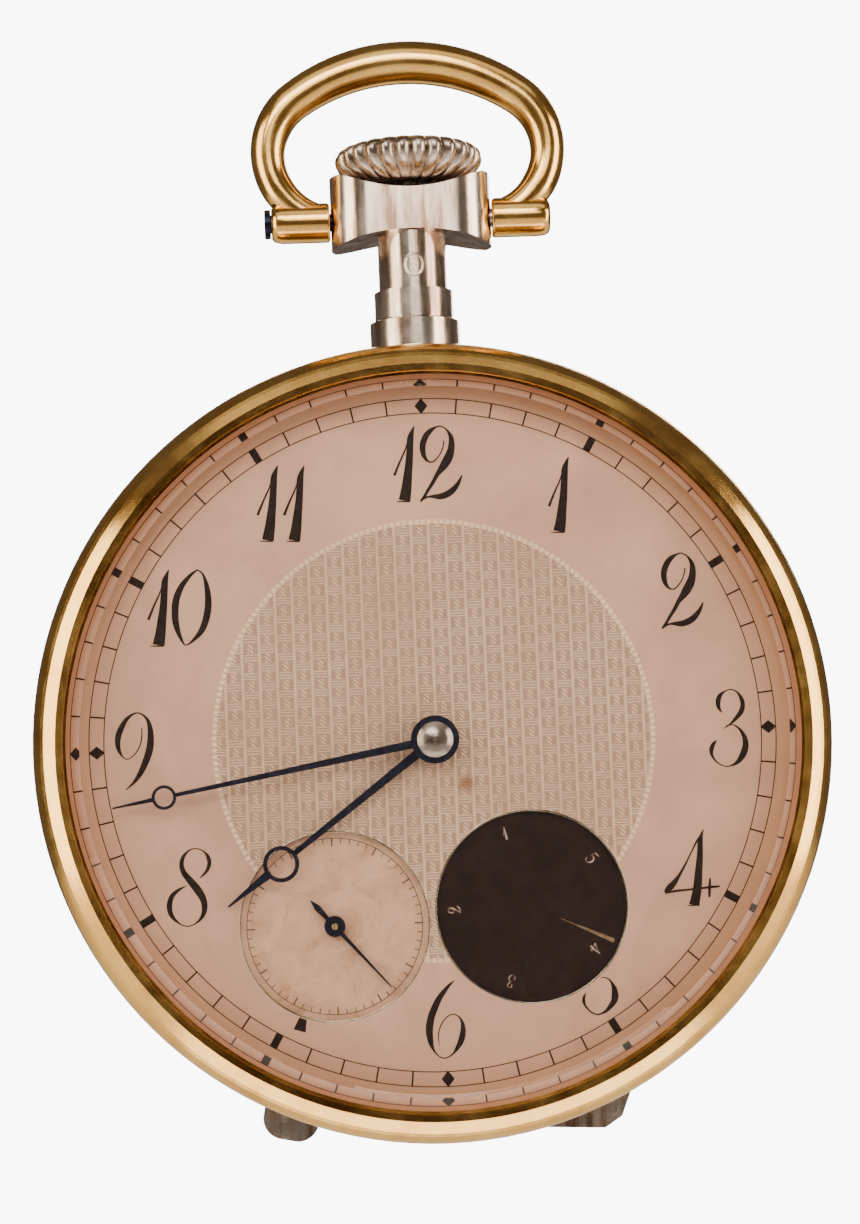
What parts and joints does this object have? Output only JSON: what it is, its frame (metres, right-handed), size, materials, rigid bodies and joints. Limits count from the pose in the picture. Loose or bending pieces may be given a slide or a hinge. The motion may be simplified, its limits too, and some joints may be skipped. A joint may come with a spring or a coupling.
{
  "type": "open face pocket watch",
  "caption": "Open face pocket watch with a crown in a scooped pendant head, a swinging bow, a recessed seconds dial, a turning counter disc and a going movement.",
  "frame": {"origin": "centre of the flat on the case back, on the axis of the hands", "axes": "+Y out of the case back, so the dial faces -Y; +Z towards twelve o'clock and the bow; +X towards three o'clock"},
  "size_m": [0.05, 0.0126, 0.0706],
  "materials": {
    "gold": "polished gold plate, lightly worn",
    "case_silver": "polished silver, softly worn",
    "crystal": "clear polished glass with a ground bevel",
    "dial_silver": "silvered, frosted and aged to a warm beige",
    "counter_dark": "dark oxidised, satin",
    "blued_steel": "polished blued steel",
    "steel": "polished steel",
    "brass": "gilt brass, satin",
    "nickel": "frosted nickel, bevelled edges",
    "ruby": "polished synthetic ruby"
  },
  "bodies": {
    "case": {"case_band": "gold", "hinge_pin": "steel", "pendant": "case_silver", "pendant_sleeve": "steel", "bow_screw": "blued_steel", "bow_pin": "steel", "stand_feet": "case_silver", "case_screws": "blued_steel", "main_plate": "nickel", "barrel_bridge": "nickel", "train_bridge": "nickel", "pallet_cock": "nickel", "balance_cock": "nickel", "bridge_screws": "blued_steel", "jewels": "ruby", "dial": "dial_silver", "seconds_dial": "dial_silver", "crown_wheel_core": "steel", "click_spring": "steel", "hairspring_stud": "steel"},
    "bezel": {"bezel": "gold", "crystal": "crystal"},
    "back_cover": {"back_cover": "gold"},
    "dust_cover": {"dust_cover": "case_silver"},
    "bow": {"bow": "gold"},
    "winding_pinion": {"winding_pinion": "steel"},
    "crown": {"crown": "case_silver", "winding_stem": "steel"},
    "sliding_pinion": {"sliding_pinion": "steel"},
    "setting_lever": {"setting_lever": "steel"},
    "yoke": {"yoke": "steel"},
    "crown_wheel": {"crown_wheel": "steel"},
    "ratchet_wheel": {"ratchet_wheel": "steel", "ratchet_screw": "blued_steel", "barrel_arbor": "steel"},
    "click": {"click": "steel"},
    "centre_wheel": {"centre_arbor": "steel", "centre_wheel": "brass", "cannon_pinion": "steel", "minute_hand": "blued_steel"},
    "hour_wheel": {"hour_wheel": "brass", "hour_hand": "blued_steel"},
    "minute_wheel": {"minute_wheel": "brass"},
    "setting_wheel": {"setting_wheel": "steel"},
    "barrel": {"barrel_drum": "brass", "barrel_cover": "brass", "mainspring": "blued_steel"},
    "third_wheel": {"third_wheel": "brass"},
    "fourth_wheel": {"fourth_wheel": "brass", "seconds_hand": "blued_steel"},
    "escape_wheel": {"escape_wheel": "steel"},
    "counter_idler": {"counter_idler": "brass"},
    "counter_disc": {"counter_disc": "counter_dark", "counter_wheel": "brass"},
    "pallet_fork": {"pallet_fork": "steel"},
    "balance": {"balance_wheel": "brass", "balance_staff": "steel", "hairspring": "blued_steel"},
    "regulator": {"regulator": "steel"}
  },
  "joints": [
    {"name": "bow_swing", "type": "hinge", "parent": "case", "child": "bow", "pos_m": [0, -0.0056, 0.0338], "axis": [1, 0, 0], "range_deg": [-125, 125]},
    {"name": "bezel_lift", "type": "slide", "parent": "case", "child": "bezel", "axis": [0, -1, 0], "range_m": [0, 0.006]},
    {"name": "back_open", "type": "hinge", "parent": "case", "child": "back_cover", "pos_m": [0, -0.00285, -0.0242], "axis": [-1, 0, 0], "range_deg": [0, 95]},
    {"name": "dust_cover_open", "type": "hinge", "parent": "case", "child": "dust_cover", "pos_m": [0, -0.00285, -0.0242], "axis": [-1, 0, 0], "range_deg": [0, 70]},
    {"name": "crown_turn", "type": "hinge", "parent": "case", "child": "winding_pinion", "pos_m": [0, -0.0056, 0.0166], "axis": [0, 0, 1], "continuous": true},
    {"name": "crown_pull", "type": "slide", "parent": "winding_pinion", "child": "crown", "axis": [0, 0, 1], "range_m": [0, 0.0012]},
    {"name": "clutch_slide", "type": "slide", "parent": "winding_pinion", "child": "sliding_pinion", "axis": [0, 0, -1], "range_m": [0, 0.0006]},
    {"name": "setting_lever_swing", "type": "hinge", "parent": "case", "child": "setting_lever", "pos_m": [-0.0036, -0.0081, 0.01825], "axis": [0, -1, 0], "range_deg": [0, 25]},
    {"name": "yoke_swing", "type": "hinge", "parent": "case", "child": "yoke", "pos_m": [-0.0054, -0.0081, 0.0144], "axis": [0, 1, 0], "range_deg": [0, 9]},
    {"name": "crown_wheel_turn", "type": "hinge", "parent": "case", "child": "crown_wheel", "pos_m": [0, -0.0022, 0.012], "axis": [0, 1, 0], "continuous": true},
    {"name": "ratchet_turn", "type": "hinge", "parent": "case", "child": "ratchet_wheel", "pos_m": [0.00831, -0.0022, 0.0048], "axis": [0, 1, 0], "continuous": true},
    {"name": "click_lift", "type": "hinge", "parent": "case", "child": "click", "pos_m": [0.0166, -0.0022, 0.003], "axis": [0, 1, 0], "range_deg": [0, 10]},
    {"name": "hands_turn", "type": "hinge", "parent": "case", "child": "centre_wheel", "pos_m": [0, -0.0037, 0], "axis": [0, 1, 0], "continuous": true},
    {"name": "hour_turn", "type": "hinge", "parent": "case", "child": "hour_wheel", "pos_m": [0, -0.0084, 0], "axis": [0, 1, 0], "continuous": true},
    {"name": "minute_wheel_turn", "type": "hinge", "parent": "case", "child": "minute_wheel", "pos_m": [0, -0.0081, 0.0032], "axis": [0, 1, 0], "continuous": true},
    {"name": "setting_wheel_turn", "type": "hinge", "parent": "case", "child": "setting_wheel", "pos_m": [0, -0.0081, 0.01008], "axis": [0, 1, 0], "continuous": true},
    {"name": "barrel_turn", "type": "hinge", "parent": "case", "child": "barrel", "pos_m": [0.00831, -0.005, 0.0048], "axis": [0, 1, 0], "continuous": true},
    {"name": "third_turn", "type": "hinge", "parent": "case", "child": "third_wheel", "pos_m": [-0.00473, -0.0047, -0.00543], "axis": [0, 1, 0], "continuous": true},
    {"name": "seconds_turn", "type": "hinge", "parent": "case", "child": "fourth_wheel", "pos_m": [-0.00667, -0.0047, -0.01137], "axis": [0, 1, 0], "continuous": true},
    {"name": "escape_turn", "type": "hinge", "parent": "case", "child": "escape_wheel", "pos_m": [-0.00147, -0.0053, -0.01137], "axis": [0, 1, 0], "continuous": true},
    {"name": "counter_idler_turn", "type": "hinge", "parent": "case", "child": "counter_idler", "pos_m": [0.00736, -0.0081, -0.00081], "axis": [0, 1, 0], "continuous": true},
    {"name": "counter_turn", "type": "hinge", "parent": "case", "child": "counter_disc", "pos_m": [0.00568, -0.0081, -0.01064], "axis": [0, 1, 0], "continuous": true},
    {"name": "pallet_rock", "type": "hinge", "parent": "case", "child": "pallet_fork", "pos_m": [0.00178, -0.0053, -0.01137], "axis": [0, 1, 0], "range_deg": [-5, 5]},
    {"name": "balance_swing", "type": "hinge", "parent": "case", "child": "balance", "pos_m": [0.00543, -0.0032, -0.01137], "axis": [0, 1, 0], "range_deg": [-135, 135], "stiffness_Nm_per_rad": 0.00000059, "deforming": ["hairspring"]},
    {"name": "regulator_turn", "type": "hinge", "parent": "case", "child": "regulator", "pos_m": [0.00543, -0.0018, -0.01137], "axis": [0, 1, 0], "range_deg": [-12, 12]}
  ],
  "couplings": [
    {"joint": "dust_cover_open", "follows": "back_open", "ratio": 0.7},
    {"joint": "clutch_slide", "follows": "crown_pull", "ratio": 0.5},
    {"joint": "setting_lever_swing", "follows": "crown_pull", "rad_per_m": 350.88},
    {"joint": "yoke_swing", "follows": "crown_pull", "rad_per_m": 121.95},
    {"joint": "crown_wheel_turn", "follows": "crown_turn", "ratio": 0.33333},
    {"joint": "ratchet_turn", "follows": "crown_turn", "ratio": -0.23077},
    {"joint": "hour_turn", "follows": "hands_turn", "ratio": 0.083333},
    {"joint": "minute_wheel_turn", "follows": "hands_turn", "ratio": -0.33333},
    {"joint": "setting_wheel_turn", "follows": "hands_turn", "ratio": 0.17857},
    {"joint": "barrel_turn", "follows": "hands_turn", "ratio": -0.14286},
    {"joint": "third_turn", "follows": "hands_turn", "ratio": -8},
    {"joint": "seconds_turn", "follows": "hands_turn", "ratio": 60},
    {"joint": "escape_turn", "follows": "hands_turn", "ratio": -600},
    {"joint": "counter_idler_turn", "follows": "hands_turn", "ratio": 0.034014},
    {"joint": "counter_turn", "follows": "hands_turn", "ratio": -0.028571}
  ]
}
